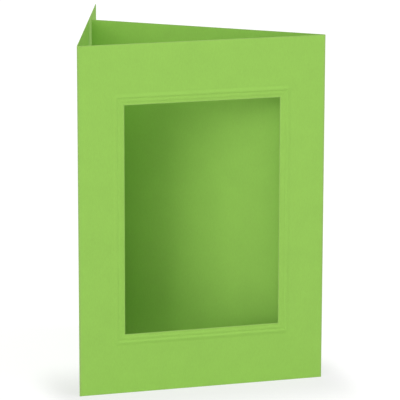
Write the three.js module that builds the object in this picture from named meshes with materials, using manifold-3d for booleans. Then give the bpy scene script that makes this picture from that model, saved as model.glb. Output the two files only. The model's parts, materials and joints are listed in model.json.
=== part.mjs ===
// A three-panel aperture card, standing on its long cut edge: a front panel with a window and two
// embossed lines round it, a back cover folded behind it on the left, and an inner flap folded in
// from the right, whose free edge stands just short of the cover. It is one folded sheet.
// Millimetres, +Z up, the front panel faces -Y, the origin is the middle of the footprint.

import * as THREE from 'three';
import { mergeVertices } from 'three/addons/utils/BufferGeometryUtils.js';
import Module from 'manifold-3d';

const wasm = await Module();
wasm.setup();

// The flat blank: three panels side by side, measured from crease to crease or to the cut edge
const CARD_HEIGHT = 169;
const FRONT_WIDTH = 120;
const COVER_WIDTH = 120;
const FLAP_WIDTH = 119;
const SHEET_THICKNESS = 0.28;

// The window cut through the middle of the front panel
const WINDOW_WIDTH = 76;
const WINDOW_HEIGHT = 111;

// Each embossed line: the distance of its crest from the window's edge, the width of its flank
// towards the window and of its slope away from it, and its height
const EMBOSSED_LINES = [
  { fromWindow: 2.0, flank: 1.0, slope: 1.3, height: 0.16 },
  { fromWindow: 3.9, flank: 1.05, slope: 1.6, height: 0.3 },
];
const LINE_INNER_CORNER = 0.15; // radius of a line's inner foot at each corner

// The folds: how the card is set up, and the form of a pressed crease
const COVER_ANGLE = THREE.MathUtils.degToRad(72.3); // between the front panel and the cover
const FLAP_EDGE_GAP = 1.15; // from the flap's free edge to the cover's inner face
const CREASE_RADIUS = 0.1; // inside radius of the bent sheet
const BEAD_RADIUS = 0.22; // of the bead that creasing raises inside each fold

// Fineness of the faceted surfaces
const ARC_SEGMENTS = 12;
const CORNER_SEGMENTS = 6;
const LINE_SEGMENTS = 6;

const OUTER_RADIUS = CREASE_RADIUS + SHEET_THICKNESS; // outside radius of a fold
const SHEET_MIDDLE = -(OUTER_RADIUS + CREASE_RADIUS) / 2; // y halfway through the front panel
const CUT_MARGIN = 1; // how far a cutting tool runs past the sheet
const MERGE_DISTANCE = 1e-4; // vertices closer than this are one

const CARD_GREEN = 0x98cb5c;

// A panel leaves its crease in the direction `along`, and `inward` points inside the card.
const leftCrease = new THREE.Vector2(-FRONT_WIDTH / 2, 0);
const rightCrease = new THREE.Vector2(FRONT_WIDTH / 2, 0);

const frontFromLeft = {
  crease: leftCrease,
  along: new THREE.Vector2(1, 0),
  inward: new THREE.Vector2(0, 1),
};

const frontFromRight = {
  crease: rightCrease,
  along: new THREE.Vector2(-1, 0),
  inward: new THREE.Vector2(0, 1),
};

const cover = {
  crease: leftCrease,
  along: new THREE.Vector2(Math.cos(COVER_ANGLE), Math.sin(COVER_ANGLE)),
  inward: new THREE.Vector2(Math.sin(COVER_ANGLE), -Math.cos(COVER_ANGLE)),
};

const flapAngle = flapAngleAgainstCover();
const flap = {
  crease: rightCrease,
  along: new THREE.Vector2(-Math.cos(flapAngle), Math.sin(flapAngle)),
  inward: new THREE.Vector2(-Math.sin(flapAngle), -Math.cos(flapAngle)),
};

// The angle between the front panel and the flap that leaves FLAP_EDGE_GAP between the flap's
// inner end corner and the cover. A flap too short to reach that far stands square to the cover.
function flapAngleAgainstCover() {
  const creaseToCover = FRONT_WIDTH * Math.sin(COVER_ANGLE) + CREASE_RADIUS;
  const creaseToCorner = Math.hypot(FLAP_WIDTH, CREASE_RADIUS);
  const cornerTurn = Math.atan2(CREASE_RADIUS, FLAP_WIDTH);
  const share = Math.min(1, (creaseToCover - FLAP_EDGE_GAP) / creaseToCorner);
  return Math.PI - Math.asin(share) - cornerTurn - COVER_ANGLE;
}

// A point of a panel: `distance` along it from its crease and `outwards` from the crease's axis.
function panelPoint(panel, distance, outwards) {
  return panel.crease
    .clone()
    .addScaledVector(panel.along, distance)
    .addScaledVector(panel.inward, -outwards);
}

// Continues an outline anticlockwise round a crease, from one point to another.
function arcRound(shape, crease, from, to) {
  const start = from.clone().sub(crease);
  const end = to.clone().sub(crease);
  shape.absarc(crease.x, crease.y, start.length(), start.angle(), end.angle(), false);
}

// The sheet seen from above: along the outside of cover, front and flap, then back inside, where
// each fold has its bead.
function planOutline() {
  const beadReach = Math.sqrt(BEAD_RADIUS ** 2 - CREASE_RADIUS ** 2);
  const coverEnd = panelPoint(cover, COVER_WIDTH, CREASE_RADIUS);
  const coverEndOutside = panelPoint(cover, COVER_WIDTH, OUTER_RADIUS);
  const flapEnd = panelPoint(flap, FLAP_WIDTH, CREASE_RADIUS);
  const flapEndOutside = panelPoint(flap, FLAP_WIDTH, OUTER_RADIUS);

  const shape = new THREE.Shape();
  shape.moveTo(coverEnd.x, coverEnd.y);
  shape.lineTo(coverEndOutside.x, coverEndOutside.y);
  arcRound(
    shape,
    leftCrease,
    panelPoint(cover, 0, OUTER_RADIUS),
    panelPoint(frontFromLeft, 0, OUTER_RADIUS),
  );
  arcRound(
    shape,
    rightCrease,
    panelPoint(frontFromRight, 0, OUTER_RADIUS),
    panelPoint(flap, 0, OUTER_RADIUS),
  );
  shape.lineTo(flapEndOutside.x, flapEndOutside.y);
  shape.lineTo(flapEnd.x, flapEnd.y);
  arcRound(
    shape,
    rightCrease,
    panelPoint(flap, beadReach, CREASE_RADIUS),
    panelPoint(frontFromRight, beadReach, CREASE_RADIUS),
  );
  arcRound(
    shape,
    leftCrease,
    panelPoint(frontFromLeft, beadReach, CREASE_RADIUS),
    panelPoint(cover, beadReach, CREASE_RADIUS),
  );
  shape.closePath();
  return shape;
}

function foldedSheet() {
  return new THREE.ExtrudeGeometry(planOutline(), {
    depth: CARD_HEIGHT,
    bevelEnabled: false,
    curveSegments: ARC_SEGMENTS,
  });
}

// The block that cuts the window through the front panel.
function windowBlock() {
  const depth = SHEET_THICKNESS + 2 * CUT_MARGIN;
  const block = new THREE.BoxGeometry(WINDOW_WIDTH, depth, WINDOW_HEIGHT);
  return block.translate(0, SHEET_MIDDLE, CARD_HEIGHT / 2);
}

// The stations of a rectangle with round corners, each with its direction out of the rectangle.
function roundedRectangle(halfWidth, halfHeight, radius) {
  const corners = [
    { signX: 1, signZ: 1 },
    { signX: -1, signZ: 1 },
    { signX: -1, signZ: -1 },
    { signX: 1, signZ: -1 },
  ];
  return corners.flatMap(({ signX, signZ }, quarter) =>
    Array.from({ length: CORNER_SEGMENTS + 1 }, (_, i) => {
      const angle = ((quarter + i / CORNER_SEGMENTS) * Math.PI) / 2;
      const outX = Math.cos(angle);
      const outZ = Math.sin(angle);
      const x = signX * (halfWidth - radius) + radius * outX;
      const z = signZ * (halfHeight - radius) + radius * outZ;
      return { x, z, outX, outZ };
    }),
  );
}

// A closed ring round the window: `section` is a list of [across, y] points, clockwise with
// across to the right and y up, carried along the rounded rectangle of the line's crest.
function ringRoundWindow(line, section) {
  const stations = roundedRectangle(
    WINDOW_WIDTH / 2 + line.fromWindow,
    WINDOW_HEIGHT / 2 + line.fromWindow,
    line.flank + LINE_INNER_CORNER,
  );
  const positions = [];
  const indices = [];
  const count = section.length;
  stations.forEach(({ x, z, outX, outZ }, s) => {
    const here = s * count;
    const next = ((s + 1) % stations.length) * count;
    section.forEach(([across, y], p) => {
      const after = (p + 1) % count;
      positions.push(x + across * outX, y, z + across * outZ);
      indices.push(here + p, next + p, next + after);
      indices.push(here + p, next + after, here + after);
    });
  });
  const geometry = new THREE.BufferGeometry();
  geometry.setAttribute('position', new THREE.Float32BufferAttribute(positions, 3));
  geometry.setIndex(indices);
  return geometry.translate(0, 0, CARD_HEIGHT / 2);
}

// The section of an embossed line. Its crown stands the line's height proud of y = `face` on the
// outside, in one shallow circular arc for the slope and one for the flank, which share their
// tangent at the crest, and it is closed by a straight side at y = `back`.
function lineSection(line, face, back) {
  const crown = Array.from({ length: 2 * LINE_SEGMENTS + 1 }, (_, i) => {
    const side = 1 - i / LINE_SEGMENTS;
    const width = side > 0 ? line.slope : line.flank;
    const across = side * width;
    const radius = (width ** 2 + line.height ** 2) / (2 * line.height);
    const rise = Math.sqrt(radius ** 2 - across ** 2) - (radius - line.height);
    return [across, face - rise];
  });
  return [...crown, [-line.flank, back], [line.slope, back]];
}

// The ridge that a line raises outside, rooted in the middle of the sheet.
function ridgeOf(line) {
  return ringRoundWindow(line, lineSection(line, -OUTER_RADIUS, SHEET_MIDDLE));
}

// The groove that it leaves inside, as deep as the ridge is high.
function grooveOf(line) {
  return ringRoundWindow(line, lineSection(line, -CREASE_RADIUS, CUT_MARGIN));
}

function toSolid(geometry) {
  const bare = geometry.clone();
  bare.deleteAttribute('normal');
  bare.deleteAttribute('uv');
  const merged = mergeVertices(bare, MERGE_DISTANCE);
  return new wasm.Manifold(
    new wasm.Mesh({
      numProp: 3,
      vertProperties: merged.attributes.position.array,
      triVerts: new Uint32Array(merged.index.array),
    }),
  );
}

function toGeometry(solid) {
  const mesh = solid.getMesh();
  const geometry = new THREE.BufferGeometry();
  geometry.setAttribute('position', new THREE.BufferAttribute(mesh.vertProperties, 3));
  geometry.setIndex(new THREE.BufferAttribute(mesh.triVerts, 1));
  geometry.computeVertexNormals();
  return geometry;
}

// The folded sheet with its embossed lines and its window.
function embossedCard() {
  let solid = toSolid(foldedSheet());
  for (const line of EMBOSSED_LINES) {
    solid = solid.add(toSolid(ridgeOf(line)));
  }
  for (const line of EMBOSSED_LINES) {
    solid = solid.subtract(toSolid(grooveOf(line)));
  }
  return toGeometry(solid.subtract(toSolid(windowBlock())));
}

const cardStock = new THREE.MeshStandardMaterial({
  color: CARD_GREEN,
  roughness: 0.85,
  metalness: 0,
});

const card = new THREE.Mesh(embossedCard(), cardStock);
card.name = 'folded_card';

// The card stands centred over the origin.
card.geometry.computeBoundingBox();
const footprintMiddle = card.geometry.boundingBox.getCenter(new THREE.Vector3());
card.position.set(-footprintMiddle.x, -footprintMiddle.y, 0);

const apertureCard = new THREE.Group();
apertureCard.add(card);

export default apertureCard;
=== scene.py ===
"""Dresses the folded aperture card: one creased sheet of green card with a window and two embossed
lines round it, on a pale floor in plain studio light. Lengths are metres in the card's own frame."""

import json
import math

import bpy
import numpy as np
from bpy.props import FloatProperty, FloatVectorProperty, PointerProperty
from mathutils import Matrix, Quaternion, Vector

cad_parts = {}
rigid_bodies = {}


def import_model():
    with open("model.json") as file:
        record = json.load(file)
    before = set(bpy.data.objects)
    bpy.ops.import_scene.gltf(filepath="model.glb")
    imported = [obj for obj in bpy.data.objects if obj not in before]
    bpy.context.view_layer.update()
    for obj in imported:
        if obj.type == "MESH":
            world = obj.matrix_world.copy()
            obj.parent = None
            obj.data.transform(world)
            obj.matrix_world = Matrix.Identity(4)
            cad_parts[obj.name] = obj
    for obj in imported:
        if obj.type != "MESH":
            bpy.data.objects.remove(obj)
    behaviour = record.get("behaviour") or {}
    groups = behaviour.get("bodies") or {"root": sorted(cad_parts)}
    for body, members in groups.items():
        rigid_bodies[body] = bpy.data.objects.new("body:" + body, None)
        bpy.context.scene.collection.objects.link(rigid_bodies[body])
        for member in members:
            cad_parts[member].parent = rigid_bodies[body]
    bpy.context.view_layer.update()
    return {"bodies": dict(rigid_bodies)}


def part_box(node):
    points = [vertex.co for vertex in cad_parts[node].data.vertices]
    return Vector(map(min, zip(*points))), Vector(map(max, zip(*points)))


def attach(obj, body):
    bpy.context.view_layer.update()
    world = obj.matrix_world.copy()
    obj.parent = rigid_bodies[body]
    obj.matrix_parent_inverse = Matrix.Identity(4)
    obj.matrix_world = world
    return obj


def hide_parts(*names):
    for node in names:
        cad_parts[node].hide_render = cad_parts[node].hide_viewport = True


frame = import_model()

bl_info = {
    "name": "Aperture Card",
    "version": (1, 0, 0),
    "blender": (4, 5, 0),
    "location": "3D View > Sidebar > Card",
    "description": "Builds a folded aperture card and the stage that it stands on",
    "category": "Object",
}

NODE = "folded_card"
CARD_LOW, CARD_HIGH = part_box(NODE)
BODY = next(iter(frame["bodies"]))

MM = 0.001

# The camera: its picture is PHOTO_PIXELS wide, and its target lies on the front panel
PHOTO_PIXELS = 400
FOCAL_PIXELS = 2733.3
SENSOR = 36.0
CAMERA_TARGET_X = -1.22 * MM
CAMERA_TARGET_Z = 92.4 * MM

# The lamps, each by its azimuth and elevation in degrees and its distance in metres
LAMPS = {
    "left": (-50, 12.6, 1.5),
    "front": (-26, 35, 1.42),
    "right": (50, 55, 1.05),
    "back": (180, 30, 1.5),
}
LAMP_SIZE = 0.8
LAMP_TARGET = Vector((0, -0.02, 0.085))

# The floor: its half side, and how it is lifted to white where it is seen, from the near edge of
# the painted pool of shade round the front's foot to the far edge. Beside the card the pool ends
# sooner.
FLOOR_HALF = 4.0
FLOOR_SEEN_SHARE = 0.32
POOL_NEAR = 5 * MM
POOL_FAR = 60 * MM
POOL_LIFT = 0.66
FLOOR_LIFT = 0.85
BESIDE_FACTOR = 2.5

# The card stock's patterns: cycles to a metre, and how much each changes the shade
CLOUD_SCALE = 90
CLOUD_SHADE = 0.02
FIBRE_SCALE = 5200
FIBRE_STRETCH = (1, 1, 0.12)
FIBRE_SHADE = 0.045
TOOTH_SCALE = 2600
CUT_EDGE_SHADE = -0.06
# How much of a greyer, darker colour is mixed in along folds and rims, varying at random
LEAST_RIM_TINT = 0.2
MOST_RIM_TINT = 0.4

# The card stock's surface
ROUGHNESS_SPREAD = 0.06
CREST_ROUGHNESS = -0.05
SPECULAR_LEVEL = 0.3
TOOTH_RELIEF = 0.6
FIBRE_RELIEF = 0.4
BUMP_STRENGTH = 0.35
BUMP_DISTANCE = 0.02 * MM

# Between these levels a noise pattern has most of its values
NOISE_LOW = 0.3
NOISE_HIGH = 0.7

# Places of the sockets on a Mix node for colours
MIX_FACTOR = 0
MIX_FIRST = 6
MIX_SECOND = 7
MIX_RESULT = 2

# Fineness of the sheet's grid
FOLD_SEGMENTS = 20
EDGE_SEGMENTS = 4
PANEL_STEP = 6 * MM
RELIEF_STEP = 0.11 * MM
SUPPORT = 0.05 * MM
CREASE_REACH = 1.0 * MM
RIM_REACH = 0.45 * MM


class CardSizes(bpy.types.PropertyGroup):
    """Sizes of the sheet, and how far it is folded."""

    front_width: FloatProperty(
        name="Front Width", description="Front panel, from crease to crease",
        default=120 * MM, unit="LENGTH")
    cover_width: FloatProperty(
        name="Cover Width", description="Back cover, from its crease to its cut edge",
        default=120 * MM, unit="LENGTH")
    flap_width: FloatProperty(
        name="Flap Width", description="Inner flap, from its crease to its cut edge",
        default=119 * MM, unit="LENGTH")
    thickness: FloatProperty(
        name="Thickness", description="Thickness of the card stock",
        default=0.28 * MM, unit="LENGTH")
    window_width: FloatProperty(
        name="Window Width", description="Width of the window in the front panel",
        default=76 * MM, unit="LENGTH")
    window_height: FloatProperty(
        name="Window Height", description="Height of the window in the front panel",
        default=111 * MM, unit="LENGTH")
    cover_angle: FloatProperty(
        name="Cover Angle", description="Angle between the front panel and the cover",
        default=math.radians(72.3), unit="ROTATION")
    flap_gap: FloatProperty(
        name="Flap Gap", description="From the flap's cut edge to the cover's inner face",
        default=1.15 * MM, unit="LENGTH")
    crease_radius: FloatProperty(
        name="Crease Radius", description="Inside radius of the bent sheet",
        default=0.1 * MM, unit="LENGTH")
    bead_radius: FloatProperty(
        name="Bead Radius", description="Radius of the bead inside each fold",
        default=0.22 * MM, unit="LENGTH")
    edge_radius: FloatProperty(
        name="Edge Radius", description="Rounding that the cutting die leaves on each cut edge",
        default=0.05 * MM, unit="LENGTH")


class EmbossedLines(bpy.types.PropertyGroup):
    """The two raised lines round the window, measured from its cut edge to their crests."""

    inner_place: FloatProperty(
        name="Inner Line", description="From the window's edge to the inner line's crest",
        default=2.0 * MM, unit="LENGTH")
    inner_flank: FloatProperty(
        name="Inner Flank", description="Width of the inner line's flank towards the window",
        default=1.1 * MM, unit="LENGTH")
    inner_slope: FloatProperty(
        name="Inner Slope", description="Width of the inner line's flank away from the window",
        default=1.7 * MM, unit="LENGTH")
    inner_height: FloatProperty(
        name="Inner Height", description="Height of the inner line's crest",
        default=0.16 * MM, unit="LENGTH")
    outer_place: FloatProperty(
        name="Outer Line", description="From the window's edge to the outer line's crest",
        default=3.9 * MM, unit="LENGTH")
    outer_flank: FloatProperty(
        name="Outer Flank", description="Width of the outer line's flank towards the window",
        default=1.15 * MM, unit="LENGTH")
    outer_slope: FloatProperty(
        name="Outer Slope", description="Width of the outer line's flank away from the window",
        default=1.8 * MM, unit="LENGTH")
    outer_height: FloatProperty(
        name="Outer Height", description="Height of the outer line's crest",
        default=0.3 * MM, unit="LENGTH")
    corner_radius: FloatProperty(
        name="Corner Radius", description="Radius of each line's crest at the window's corners",
        default=0.6 * MM, unit="LENGTH")


class CardFinish(bpy.types.PropertyGroup):
    """Colour and surface of the card stock."""

    colour: FloatVectorProperty(
        name="Colour", description="The dyed card", subtype="COLOR", size=3,
        min=0, max=1, default=(0.331, 0.625, 0.103))
    # A greyer, darker colour mixed in along folds and rims
    fold_and_rim_colour: FloatVectorProperty(
        name="Fold And Rim Colour", description="A greyer, darker colour mixed in along folds and rims",
        subtype="COLOR", size=3, min=0, max=1, default=(0.33, 0.36, 0.19))
    roughness: FloatProperty(
        name="Roughness", description="Roughness of the uncoated surface",
        default=0.82, min=0, max=1, subtype="FACTOR")


class StageLook(bpy.types.PropertyGroup):
    """Floor, light and camera."""

    floor_colour: FloatVectorProperty(
        name="Floor", description="Colour of the floor", subtype="COLOR", size=3,
        min=0, max=1, default=(0.8, 0.8, 0.8))
    sky_strength: FloatProperty(
        name="Sky", description="Strength of the even light from all round", default=0.35, min=0)
    left_power: FloatProperty(
        name="Left Lamp", description="Power of the low soft lamp at the front left",
        default=5.2, min=0, unit="POWER")
    front_power: FloatProperty(
        name="Front Lamp", description="Power of the soft lamp beside the camera",
        default=3.65, min=0, unit="POWER")
    right_power: FloatProperty(
        name="Right Lamp", description="Power of the high soft lamp at the front right",
        default=4.7, min=0, unit="POWER")
    back_power: FloatProperty(
        name="Back Lamp", description="Power of the soft lamp behind the card",
        default=5.0, min=0, unit="POWER")
    azimuth: FloatProperty(
        name="Camera Azimuth", description="Turn of the camera about the card",
        default=math.radians(-15.73), unit="ROTATION")
    elevation: FloatProperty(
        name="Camera Elevation", description="Angle at which the camera looks down",
        default=math.radians(13.42), unit="ROTATION")
    roll: FloatProperty(
        name="Camera Roll", description="Turn of the camera about its own axis",
        default=math.radians(0.137), unit="ROTATION")
    distance: FloatProperty(
        name="Camera Distance", description="From the camera to the front panel",
        default=1294.4 * MM, unit="LENGTH")


def flap_angle(sizes):
    """Angle between front and flap: the flap's inner end corner is flap_gap from the cover's inner
    face, so the sine of cover angle plus flap angle is the corner's reach towards the cover."""
    to_cover = sizes.front_width * math.sin(sizes.cover_angle) + sizes.crease_radius
    to_corner = math.hypot(sizes.flap_width, sizes.crease_radius)
    corner_turn = math.atan2(sizes.crease_radius, sizes.flap_width)
    share = min(1.0, (to_cover - sizes.flap_gap) / to_corner)
    return math.pi - math.asin(share) - corner_turn - sizes.cover_angle


def crease_place(sizes):
    """Where both creases stand, front to back: the cover's end reaches the box's back side."""
    outer = sizes.crease_radius + sizes.thickness
    angle = sizes.cover_angle
    return CARD_HIGH.y - sizes.cover_width * math.sin(angle) - outer * math.cos(angle)


def lines_between(start, end, step):
    """Evenly spaced values from start up to but without end, no more than a step apart."""
    count = max(1, math.ceil(abs(end - start) / step))
    return np.linspace(start, end, count, endpoint=False)


def panel_lines(stops, steps):
    """Grid lines through every stop, where each stretch between two stops has its own step."""
    stretches = [lines_between(a, b, s) for a, b, s in zip(stops, stops[1:], steps)]
    return np.concatenate([*stretches, [stops[-1]]])


def relief_stops(sizes, lines, half_window):
    """Stops on one side of the window, outwards: its edge, a support line and the relief's foot."""
    edge = half_window + sizes.edge_radius
    foot = half_window + lines.outer_place + lines.outer_slope + SUPPORT
    return [edge, edge + SUPPORT, foot], [SUPPORT, RELIEF_STEP]


def mirrored(stops, steps, middle_step):
    """The stops and steps of one side, repeated on both sides of the middle."""
    return [-s for s in reversed(stops)] + stops, steps[::-1] + [middle_step] + steps


def front_lines(sizes, lines):
    """The front panel's grid lines across, from the left crease to the right one."""
    stops, steps = relief_stops(sizes, lines, sizes.window_width / 2)
    half = sizes.front_width / 2
    stops += [half - CREASE_REACH, half - SUPPORT, half]
    steps += [PANEL_STEP, CREASE_REACH / 4, SUPPORT]
    return panel_lines(*mirrored(stops, steps, PANEL_STEP))


def height_lines(sizes, lines, height):
    """Every panel's grid lines up the sheet, from its bottom to its top rounding."""
    stops, steps = relief_stops(sizes, lines, sizes.window_height / 2)
    top = height / 2 - sizes.edge_radius
    stops += [top - RIM_REACH, top - SUPPORT, top]
    steps += [PANEL_STEP, RIM_REACH, SUPPORT]
    return panel_lines(*mirrored(stops, steps, PANEL_STEP)) + height / 2


def side_lines(sizes, width):
    """Grid lines of the cover or the flap, from its crease to its end rounding."""
    end = width - sizes.edge_radius
    stops = [0.0, SUPPORT, CREASE_REACH, end - RIM_REACH, end - SUPPORT, end]
    return panel_lines(stops, [SUPPORT, CREASE_REACH / 4, PANEL_STEP, RIM_REACH, SUPPORT])


def turned(angle):
    """Unit vectors at an array of angles in the plan."""
    return np.stack([np.cos(angle), np.sin(angle)], axis=-1)


def panel_section(crease, angle, outward, distance, sizes):
    """A panel's section: points at a distance from its crease, on the outside and the inside. The
    inside keeps clear of the bead, so its first millimetre is drawn in to where the bead ends."""
    outer = sizes.crease_radius + sizes.thickness
    bead_end = math.sqrt(sizes.bead_radius ** 2 - sizes.crease_radius ** 2)
    squeezed = bead_end + distance * (1 - bead_end / CREASE_REACH)
    inside = np.where(distance < CREASE_REACH, squeezed, distance)
    along, out = turned(np.array([angle, outward]))
    return (crease + distance[:, None] * along + outer * out,
            crease + inside[:, None] * along + sizes.crease_radius * out)


def fold_section(crease, outside_angles, inside_angles, sizes):
    """A fold's section: an arc round the crease outside, and the bead's arc inside."""
    outer = sizes.crease_radius + sizes.thickness
    share = np.linspace(0, 1, FOLD_SEGMENTS + 1)[1:-1]
    first, last = outside_angles
    outside = crease + outer * turned(first + share * (last - first))
    first, last = inside_angles
    inside = crease + sizes.bead_radius * turned(first + share * (last - first))
    return outside, inside


def sheet_section(sizes, lines):
    """The whole section seen from above, from the cover's end to the flap's: points outside and
    inside, the place across the front panel, and the distances from a fold and from a cut end."""
    half = sizes.front_width / 2
    left, right = np.array([-half, 0.0]), np.array([half, 0.0])
    cover, flap = sizes.cover_angle, math.pi - flap_angle(sizes)
    bead_turn = math.asin(sizes.crease_radius / sizes.bead_radius)
    quarter = math.pi / 2
    cover_lines = side_lines(sizes, sizes.cover_width)[::-1]
    across = front_lines(sizes, lines)
    from_left = across < 0
    flap_lines = side_lines(sizes, sizes.flap_width)
    parts = [
        panel_section(left, cover, cover + quarter, cover_lines, sizes),
        fold_section(
            left, (cover + quarter, 3 * quarter), (cover + bead_turn, -bead_turn), sizes),
        panel_section(left, 0, -quarter, across[from_left] + half, sizes),
        panel_section(right, math.pi, -quarter, half - across[~from_left], sizes),
        fold_section(
            right, (-quarter, flap - quarter),
            (math.pi + bead_turn, flap - bead_turn), sizes),
        panel_section(right, flap, flap - quarter, flap_lines, sizes),
    ]
    beyond = np.full(FOLD_SEGMENTS - 1, sizes.front_width)
    place = np.concatenate([
        np.full(len(cover_lines), sizes.front_width), beyond, across, beyond,
        np.full(len(flap_lines), sizes.front_width)])
    from_fold = np.concatenate([
        cover_lines, beyond * 0, half - np.abs(across), beyond * 0, flap_lines])
    from_end = np.concatenate([
        sizes.cover_width - cover_lines, beyond, across * 0 + sizes.front_width, beyond,
        sizes.flap_width - flap_lines])
    outside = np.concatenate([p[0] for p in parts])
    inside = np.concatenate([p[1] for p in parts])
    return outside, inside, place, from_fold, from_end


def raised_line(across, up, sizes, corner, place, height, flank, slope):
    """Height of one line: half a cosine wave on each side of its crest, as wide as the flank
    towards the window and the slope away from it. The crest is a rectangle with round corners, and
    the distance from it is that from the corner's centre, less the corner's radius."""
    reach_x = np.abs(across) - (sizes.window_width / 2 + place - corner)
    reach_z = np.abs(up) - (sizes.window_height / 2 + place - corner)
    outside_both = np.hypot(np.maximum(reach_x, 0), np.maximum(reach_z, 0))
    inside_both = np.minimum(np.maximum(reach_x, reach_z), 0)
    distance = outside_both + inside_both - corner
    share = np.clip(np.maximum(-distance / flank, distance / slope), 0, 1)
    return height * (1 + np.cos(math.pi * share)) / 2


def relief(across, up, sizes, lines):
    """Height of both embossed lines at each point of the front panel, nothing elsewhere."""
    inner = raised_line(across, up, sizes, lines.corner_radius, lines.inner_place,
                        lines.inner_height, lines.inner_flank, lines.inner_slope)
    outer = raised_line(across, up, sizes, lines.corner_radius, lines.outer_place,
                        lines.outer_height, lines.outer_flank, lines.outer_slope)
    return inner + outer


def grid_quads(first, rows, reverse, keep):
    """Four corners for each kept cell of a grid whose vertices start at first, row by row."""
    i, j = np.nonzero(keep)
    corners = first + i * rows + j
    quads = np.stack([corners, corners + rows, corners + rows + 1, corners + 1], axis=1)
    return quads[:, ::-1] if reverse else quads


def loop_round(low_i, high_i, low_j, high_j, clockwise):
    """Grid places once round a rectangle of cells, each with its direction away from the middle."""
    i = np.arange(low_i, high_i)
    j = np.arange(low_j, high_j)
    places = np.concatenate([
        np.stack([i, np.full(len(i), low_j)], axis=1),
        np.stack([np.full(len(j), high_i), j], axis=1),
        np.stack([high_i + low_i - i, np.full(len(i), high_j)], axis=1),
        np.stack([np.full(len(j), low_i), high_j + low_j - j], axis=1)])
    lows, highs = np.array([low_i, low_j]), np.array([high_i, high_j])
    away = (places == highs).astype(float) - (places == lows)
    return (places[::-1], away[::-1]) if clockwise else (places, away)


def edge_strip(outside, inside, away, radius):
    """The cut edge of a loop: a quarter round from the outside, the flat cut, and a quarter round
    to the inside. Each point is its surface's point, moved away by radius times the sine and into
    the sheet by radius times one minus the cosine of the turn."""
    turn = np.linspace(0, math.pi / 2, EDGE_SEGMENTS + 1)[1:]
    depth = inside - outside
    depth /= np.linalg.norm(depth, axis=1, keepdims=True)
    sideways = radius * np.sin(turn)[:, None, None] * away
    inwards = radius * (1 - np.cos(turn))[:, None, None] * depth
    return np.concatenate([outside + sideways + inwards, (inside + sideways - inwards)[::-1]])


def strip_quads(outside_loop, inside_loop, first, count):
    """Quads that join the outside loop to the strip's rows and these to the inside loop."""
    length = len(outside_loop)
    rows = first + np.arange(count * length).reshape(count, length)
    levels = np.concatenate([[outside_loop], rows, [inside_loop]])
    here, after = levels, np.roll(levels, -1, axis=1)
    return np.stack([here[:-1], here[1:], after[1:], after[:-1]], axis=-1).reshape(-1, 4)


def card_surface(sizes, lines, height):
    """The closed sheet: an outside and an inside grid of the same section and heights, without the
    cells of the window, joined by an edge strip round the sheet and one round the window."""
    outside_plan, inside_plan, place, from_fold, from_end = sheet_section(sizes, lines)
    up = height_lines(sizes, lines, height)
    columns, rows = len(place), len(up)
    lift = relief(place[:, None], up[None, :] - height / 2, sizes, lines)
    stand = np.broadcast_to(up, (columns, rows))

    def raised(plan):
        x = np.broadcast_to(plan[:, :1], (columns, rows))
        y = plan[:, 1:] - lift
        return np.stack([x, y, stand], axis=-1)

    outside, inside = raised(outside_plan), raised(inside_plan)
    edge = sizes.edge_radius + SUPPORT / 2
    in_width = np.abs(place) < sizes.window_width / 2 + edge
    in_height = np.abs(up - height / 2) < sizes.window_height / 2 + edge
    hole_i, hole_j = np.nonzero(in_width)[0], np.nonzero(in_height)[0]
    keep = np.ones((columns - 1, rows - 1), bool)
    keep[hole_i[0]:hole_i[-1], hole_j[0]:hole_j[-1]] = False

    size = columns * rows
    points = [outside.reshape(-1, 3), inside.reshape(-1, 3)]
    quads = [grid_quads(0, rows, False, keep), grid_quads(size, rows, True, keep)]
    onwards = np.tile([1.0, 0.0, 0.0], (columns, 1))
    onwards[0, :2] = -turned(sizes.cover_angle)
    onwards[-1, :2] = turned(math.pi - flap_angle(sizes))
    upwards = np.array([0.0, 0.0, 1.0])
    first = 2 * size
    for (places, away), side in (
        (loop_round(0, columns - 1, 0, rows - 1, False), 1),
        (loop_round(hole_i[0], hole_i[-1], hole_j[0], hole_j[-1], True), -1),
    ):
        i, j = places.T
        direction = side * (away[:, :1] * onwards[i] + away[:, 1:] * upwards)
        strip = edge_strip(outside[i, j], inside[i, j], direction, sizes.edge_radius)
        loop = i * rows + j
        quads.append(strip_quads(loop, loop + size, first, len(strip)))
        points.append(strip.reshape(-1, 3))
        first += strip.shape[0] * strip.shape[1]
    from_window = np.maximum(np.abs(place)[:, None] - sizes.window_width / 2,
                             np.abs(up - height / 2) - sizes.window_height / 2)
    from_cut = np.minimum(np.minimum(from_end[:, None], np.minimum(up, height - up)),
                          np.maximum(from_window, 0))
    fold = np.broadcast_to(1 - from_fold[:, None] / CREASE_REACH, (columns, rows))

    def both_sides(values, on_edges):
        sides = np.tile(np.clip(values, 0, 1).ravel(), 2)
        return np.concatenate([sides, np.full(first - 2 * size, on_edges)])

    attributes = {
        "cut_edge": both_sides(lift * 0, 1.0),
        "rim": both_sides(1 - from_cut / RIM_REACH, 1.0),
        "fold": both_sides(fold, 0.0),
        "crest": both_sides(lift / lines.outer_height, 0.0),
    }
    return np.concatenate(points), np.concatenate(quads), attributes


def mesh_object(name, points, quads, attributes):
    """A smooth mesh object of the quads, without the points that no quad uses."""
    used, quads = np.unique(quads, return_inverse=True)
    quads = quads.reshape(-1, 4)
    mesh = bpy.data.meshes.new(name)
    mesh.vertices.add(len(used))
    mesh.vertices.foreach_set("co", points[used].astype(np.float32).ravel())
    mesh.loops.add(quads.size)
    mesh.loops.foreach_set("vertex_index", quads.astype(np.int32).ravel())
    mesh.polygons.add(len(quads))
    mesh.polygons.foreach_set("loop_start", np.arange(0, quads.size, 4, dtype=np.int32))
    mesh.update(calc_edges=True)
    mesh.shade_smooth()
    for label, values in attributes.items():
        layer = mesh.attributes.new(label, "FLOAT", "POINT")
        layer.data.foreach_set("value", values[used].astype(np.float32))
    thing = bpy.data.objects.new(name, mesh)
    bpy.context.scene.collection.objects.link(thing)
    return thing


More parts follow.
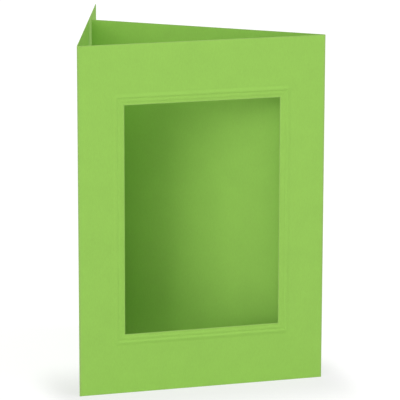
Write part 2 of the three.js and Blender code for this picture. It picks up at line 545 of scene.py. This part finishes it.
class NodeTree:
    """A material's or a world's nodes. An input is given as a number, a colour or an output."""

    def __init__(self, owner):
        owner.use_nodes = True
        self.tree = owner.node_tree
        self.tree.nodes.clear()

    def add(self, kind, inputs=(), **settings):
        """Makes a node with its inputs and its settings."""
        node = self.tree.nodes.new(kind)
        for key, value in settings.items():
            setattr(node, key, value)
        for key, value in dict(inputs).items():
            self.put(node.inputs[key], value)
        return node

    def put(self, socket, value):
        """Links an output to the socket, or sets a constant on it."""
        if isinstance(value, bpy.types.NodeSocket):
            self.tree.links.new(value, socket)
        else:
            socket.default_value = value

    def math(self, operation, first, second=0.0):
        """The result of one operation on two values."""
        node = self.add("ShaderNodeMath", {0: first, 1: second}, operation=operation)
        return node.outputs[0]

    def ranged(self, value, low, high, to_low, to_high):
        """A value carried in a straight line from one range to another, and held at its ends."""
        node = self.add("ShaderNodeMapRange", {
            "Value": value, "From Min": low, "From Max": high,
            "To Min": to_low, "To Max": to_high})
        return node.outputs["Result"]


def card_material(finish):
    """Dyed card stock: cloudy dye, fibres that lie mostly along the folds, a fine tooth in the
    surface, a greyer, darker line along folds and rims, and cut edges with open fibres."""
    material = bpy.data.materials.new("green_card_stock")
    nodes = NodeTree(material)
    place = nodes.add("ShaderNodeTexCoord").outputs["Object"]

    def noise(scale, stretch, detail, roughness):
        mapped = nodes.add("ShaderNodeMapping", {"Vector": place, "Scale": stretch})
        return nodes.add("ShaderNodeTexNoise", {
            "Vector": mapped.outputs["Vector"], "Scale": scale, "Detail": detail,
            "Roughness": roughness}).outputs["Fac"]

    def attribute(name):
        return nodes.add("ShaderNodeAttribute", attribute_name=name).outputs["Fac"]

    def varied(value, low, high):
        return nodes.ranged(value, NOISE_LOW, NOISE_HIGH, low, high)

    clouds = noise(CLOUD_SCALE, (1, 1, 1), 4, 0.55)
    fibres = noise(FIBRE_SCALE, FIBRE_STRETCH, 3, 0.6)
    tooth = noise(TOOTH_SCALE, (1, 1, 1), 3, 0.6)
    cut, crest = attribute("cut_edge"), attribute("crest")
    # Greyer and darker along folds and near cut rims
    rim_tint = nodes.math("MAXIMUM", attribute("rim"), nodes.math("POWER", attribute("fold"), 2.0))
    rim_tint = nodes.math("MULTIPLY", rim_tint, varied(tooth, LEAST_RIM_TINT, MOST_RIM_TINT))

    shade = nodes.math("ADD", varied(clouds, -CLOUD_SHADE, CLOUD_SHADE),
                       varied(fibres, -FIBRE_SHADE, FIBRE_SHADE))
    shade = nodes.math("ADD", shade, nodes.math("MULTIPLY", cut, CUT_EDGE_SHADE))
    bright = nodes.math("ADD", shade, 1.0)
    grey = nodes.add("ShaderNodeCombineColor", {0: bright, 1: bright, 2: bright})
    dyed = nodes.add("ShaderNodeMix", {
        MIX_FACTOR: rim_tint, MIX_FIRST: (*finish.colour, 1.0),
        MIX_SECOND: (*finish.fold_and_rim_colour, 1.0)}, data_type="RGBA")
    coloured = nodes.add("ShaderNodeMix", {
        MIX_FACTOR: 1.0, MIX_FIRST: dyed.outputs[MIX_RESULT], MIX_SECOND: grey.outputs[0]},
        data_type="RGBA", blend_type="MULTIPLY")

    rough = varied(tooth, finish.roughness - ROUGHNESS_SPREAD,
                   finish.roughness + ROUGHNESS_SPREAD)
    rough = nodes.math("ADD", rough, nodes.math("MULTIPLY", crest, CREST_ROUGHNESS))
    height = nodes.math("ADD", nodes.math("MULTIPLY", tooth, TOOTH_RELIEF),
                        nodes.math("MULTIPLY", fibres, FIBRE_RELIEF))
    bump = nodes.add("ShaderNodeBump", {
        "Strength": BUMP_STRENGTH, "Distance": BUMP_DISTANCE, "Height": height})
    shader = nodes.add("ShaderNodeBsdfPrincipled", {
        "Base Color": coloured.outputs[MIX_RESULT], "Roughness": rough,
        "Specular IOR Level": SPECULAR_LEVEL, "Normal": bump.outputs["Normal"]})
    nodes.add("ShaderNodeOutputMaterial", {"Surface": shader.outputs["BSDF"]})
    return material


def seen_directly(nodes):
    """One for what the camera, a mirror or a clear piece sees, and nothing for other light."""
    path = nodes.add("ShaderNodeLightPath").outputs
    seen = nodes.math("MAXIMUM", path["Is Camera Ray"], path["Is Glossy Ray"])
    return nodes.math("MAXIMUM", seen, path["Is Transmission Ray"])


def floor_material(colour, line, half_width):
    """A pale floor that keeps shadows. Seen directly it is lifted to white, less so in a painted
    pool of shade before and under the front panel's foot, which is the line y = line."""
    material = bpy.data.materials.new("floor")
    nodes = NodeTree(material)
    seen = seen_directly(nodes)
    place = nodes.add("ShaderNodeTexCoord").outputs["Object"]
    split = nodes.add("ShaderNodeSeparateXYZ", {"Vector": place})
    beside = nodes.math("SUBTRACT", nodes.math("ABSOLUTE", split.outputs["X"]), half_width)
    beside = nodes.math("MULTIPLY", nodes.math("MAXIMUM", beside, 0.0), BESIDE_FACTOR)
    before = nodes.math("SUBTRACT", split.outputs["Y"], line)
    squares = nodes.math("ADD", nodes.math("POWER", beside, 2.0),
                         nodes.math("MULTIPLY", before, before))
    away = nodes.math("SQRT", squares)
    # Painted shade: near the front's foot the floor is lifted less, so it looks darker there
    shade = nodes.add("ShaderNodeMapRange", {
        "Value": away, "From Min": POOL_NEAR, "From Max": POOL_FAR,
        "To Min": POOL_LIFT, "To Max": FLOOR_LIFT}, interpolation_type="SMOOTHSTEP")
    share = nodes.ranged(seen, 0, 1, 1.0, FLOOR_SEEN_SHARE)
    tint = nodes.add("ShaderNodeVectorMath", {0: colour}, operation="SCALE")
    nodes.put(tint.inputs["Scale"], share)
    diffuse = nodes.add("ShaderNodeBsdfDiffuse", {"Color": tint.outputs[0]})
    lift = nodes.add("ShaderNodeEmission", {
        "Strength": nodes.math("MULTIPLY", seen, shade.outputs["Result"])})
    both = nodes.add("ShaderNodeAddShader", {0: diffuse.outputs[0], 1: lift.outputs[0]})
    nodes.add("ShaderNodeOutputMaterial", {"Surface": both.outputs[0]})
    return material


def studio_world(strength):
    """Even light from all round, with a white background where it is seen directly."""
    world = bpy.data.worlds.new("studio")
    nodes = NodeTree(world)
    seen = seen_directly(nodes)
    level = nodes.ranged(seen, 0, 1, strength, 1.0)
    background = nodes.add("ShaderNodeBackground", {"Color": (1, 1, 1, 1), "Strength": level})
    nodes.add("ShaderNodeOutputWorld", {"Surface": background.outputs[0]})
    bpy.context.scene.world = world


def aim(thing, at):
    """Turns a lamp or a camera to look at a point."""
    thing.rotation_mode = "QUATERNION"
    thing.rotation_quaternion = (at - thing.location).to_track_quat("-Z", "Y")


def direction_from(azimuth, elevation):
    """Unit vector from the card towards a lamp or the camera, as an azimuth from the front and an
    elevation above the floor."""
    return Vector((
        math.sin(azimuth) * math.cos(elevation),
        -math.cos(azimuth) * math.cos(elevation),
        math.sin(elevation)))


def soft_lamp(name, azimuth, elevation, distance, power):
    """A large square area lamp that shines on the card's middle, placed in degrees and metres."""
    lamp = bpy.data.lights.new(name, "AREA")
    lamp.shape = "SQUARE"
    lamp.size = LAMP_SIZE
    lamp.energy = power
    thing = bpy.data.objects.new(name, lamp)
    bpy.context.scene.collection.objects.link(thing)
    back = direction_from(math.radians(azimuth), math.radians(elevation))
    thing.location = LAMP_TARGET + distance * back
    aim(thing, LAMP_TARGET)


def photo_camera(look):
    """The camera that saw the card: it looks at a point on the front panel from a distance, with
    a focal length in pixels that is turned into millimetres by the sensor's width."""
    camera = bpy.data.cameras.new("camera")
    camera.sensor_width = SENSOR
    camera.lens = FOCAL_PIXELS * SENSOR / PHOTO_PIXELS
    thing = bpy.data.objects.new("camera", camera)
    bpy.context.scene.collection.objects.link(thing)
    sizes = bpy.context.scene.card_sizes
    front = crease_place(sizes) - sizes.crease_radius - sizes.thickness
    target = Vector((CAMERA_TARGET_X, front, CAMERA_TARGET_Z))
    back = direction_from(look.azimuth, look.elevation)
    thing.location = target + back * look.distance
    thing.rotation_mode = "QUATERNION"
    turn = Quaternion((0, 0, 1), look.roll)
    thing.rotation_quaternion = (-back).to_track_quat("-Z", "Y") @ turn
    bpy.context.scene.camera = thing


class CARD_OT_folded_card(bpy.types.Operator):
    """Builds the folded sheet with its window and its embossed lines."""

    bl_idname = "card.folded_card"
    bl_label = "Folded Card"

    def execute(self, context):
        scene = context.scene
        height = CARD_HIGH.z - CARD_LOW.z
        points, quads, attributes = card_surface(scene.card_sizes, scene.embossed_lines, height)
        points[:, 1] += crease_place(scene.card_sizes)
        card = mesh_object("aperture_card", points, quads, attributes)
        card.data.materials.append(card_material(scene.card_finish))
        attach(card, BODY)
        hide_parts(NODE)
        return {"FINISHED"}


class CARD_OT_stage(bpy.types.Operator):
    """Sets up the floor, the light and the camera."""

    bl_idname = "card.stage"
    bl_label = "Stage"

    def execute(self, context):
        look = context.scene.stage_look
        corners = FLOOR_HALF * np.array([[-1.0, -1, 0], [1, -1, 0], [1, 1, 0], [-1, 1, 0]])
        floor = mesh_object("floor", corners, np.array([[0, 1, 2, 3]]), {})
        floor.data.materials.append(floor_material(
            look.floor_colour, crease_place(context.scene.card_sizes), CARD_HIGH.x))
        studio_world(look.sky_strength)
        for name, place in LAMPS.items():
            soft_lamp(name, *place, getattr(look, f"{name}_power"))
        photo_camera(look)
        context.scene.view_settings.view_transform = "Standard"
        return {"FINISHED"}


class CARD_PT_build(bpy.types.Panel):
    """Lists what builds the card and its stage."""

    bl_idname = "CARD_PT_build"
    bl_label = "Aperture Card"
    bl_space_type = "VIEW_3D"
    bl_region_type = "UI"
    bl_category = "Card"

    def draw(self, context):
        column = self.layout.column()
        for group in GROUPS:
            for name in group.__annotations__:
                column.prop(getattr(context.scene, GROUPS[group]), name)
        for operator in OPERATORS:
            column.operator(operator.bl_idname)


GROUPS = {
    CardSizes: "card_sizes",
    EmbossedLines: "embossed_lines",
    CardFinish: "card_finish",
    StageLook: "stage_look",
}
OPERATORS = (CARD_OT_folded_card, CARD_OT_stage)


def register():
    """Makes the classes and the scene's settings known to Blender."""
    for kind in (*GROUPS, *OPERATORS, CARD_PT_build):
        bpy.utils.register_class(kind)
    for kind, name in GROUPS.items():
        setattr(bpy.types.Scene, name, PointerProperty(type=kind))


def unregister():
    """Takes them away again."""
    for name in GROUPS.values():
        delattr(bpy.types.Scene, name)
    for kind in reversed((*GROUPS, *OPERATORS, CARD_PT_build)):
        bpy.utils.unregister_class(kind)


def main():
    """Builds the stage and the card."""
    register()
    bpy.ops.card.folded_card()
    bpy.ops.card.stage()


if __name__ == "__main__":
    main()
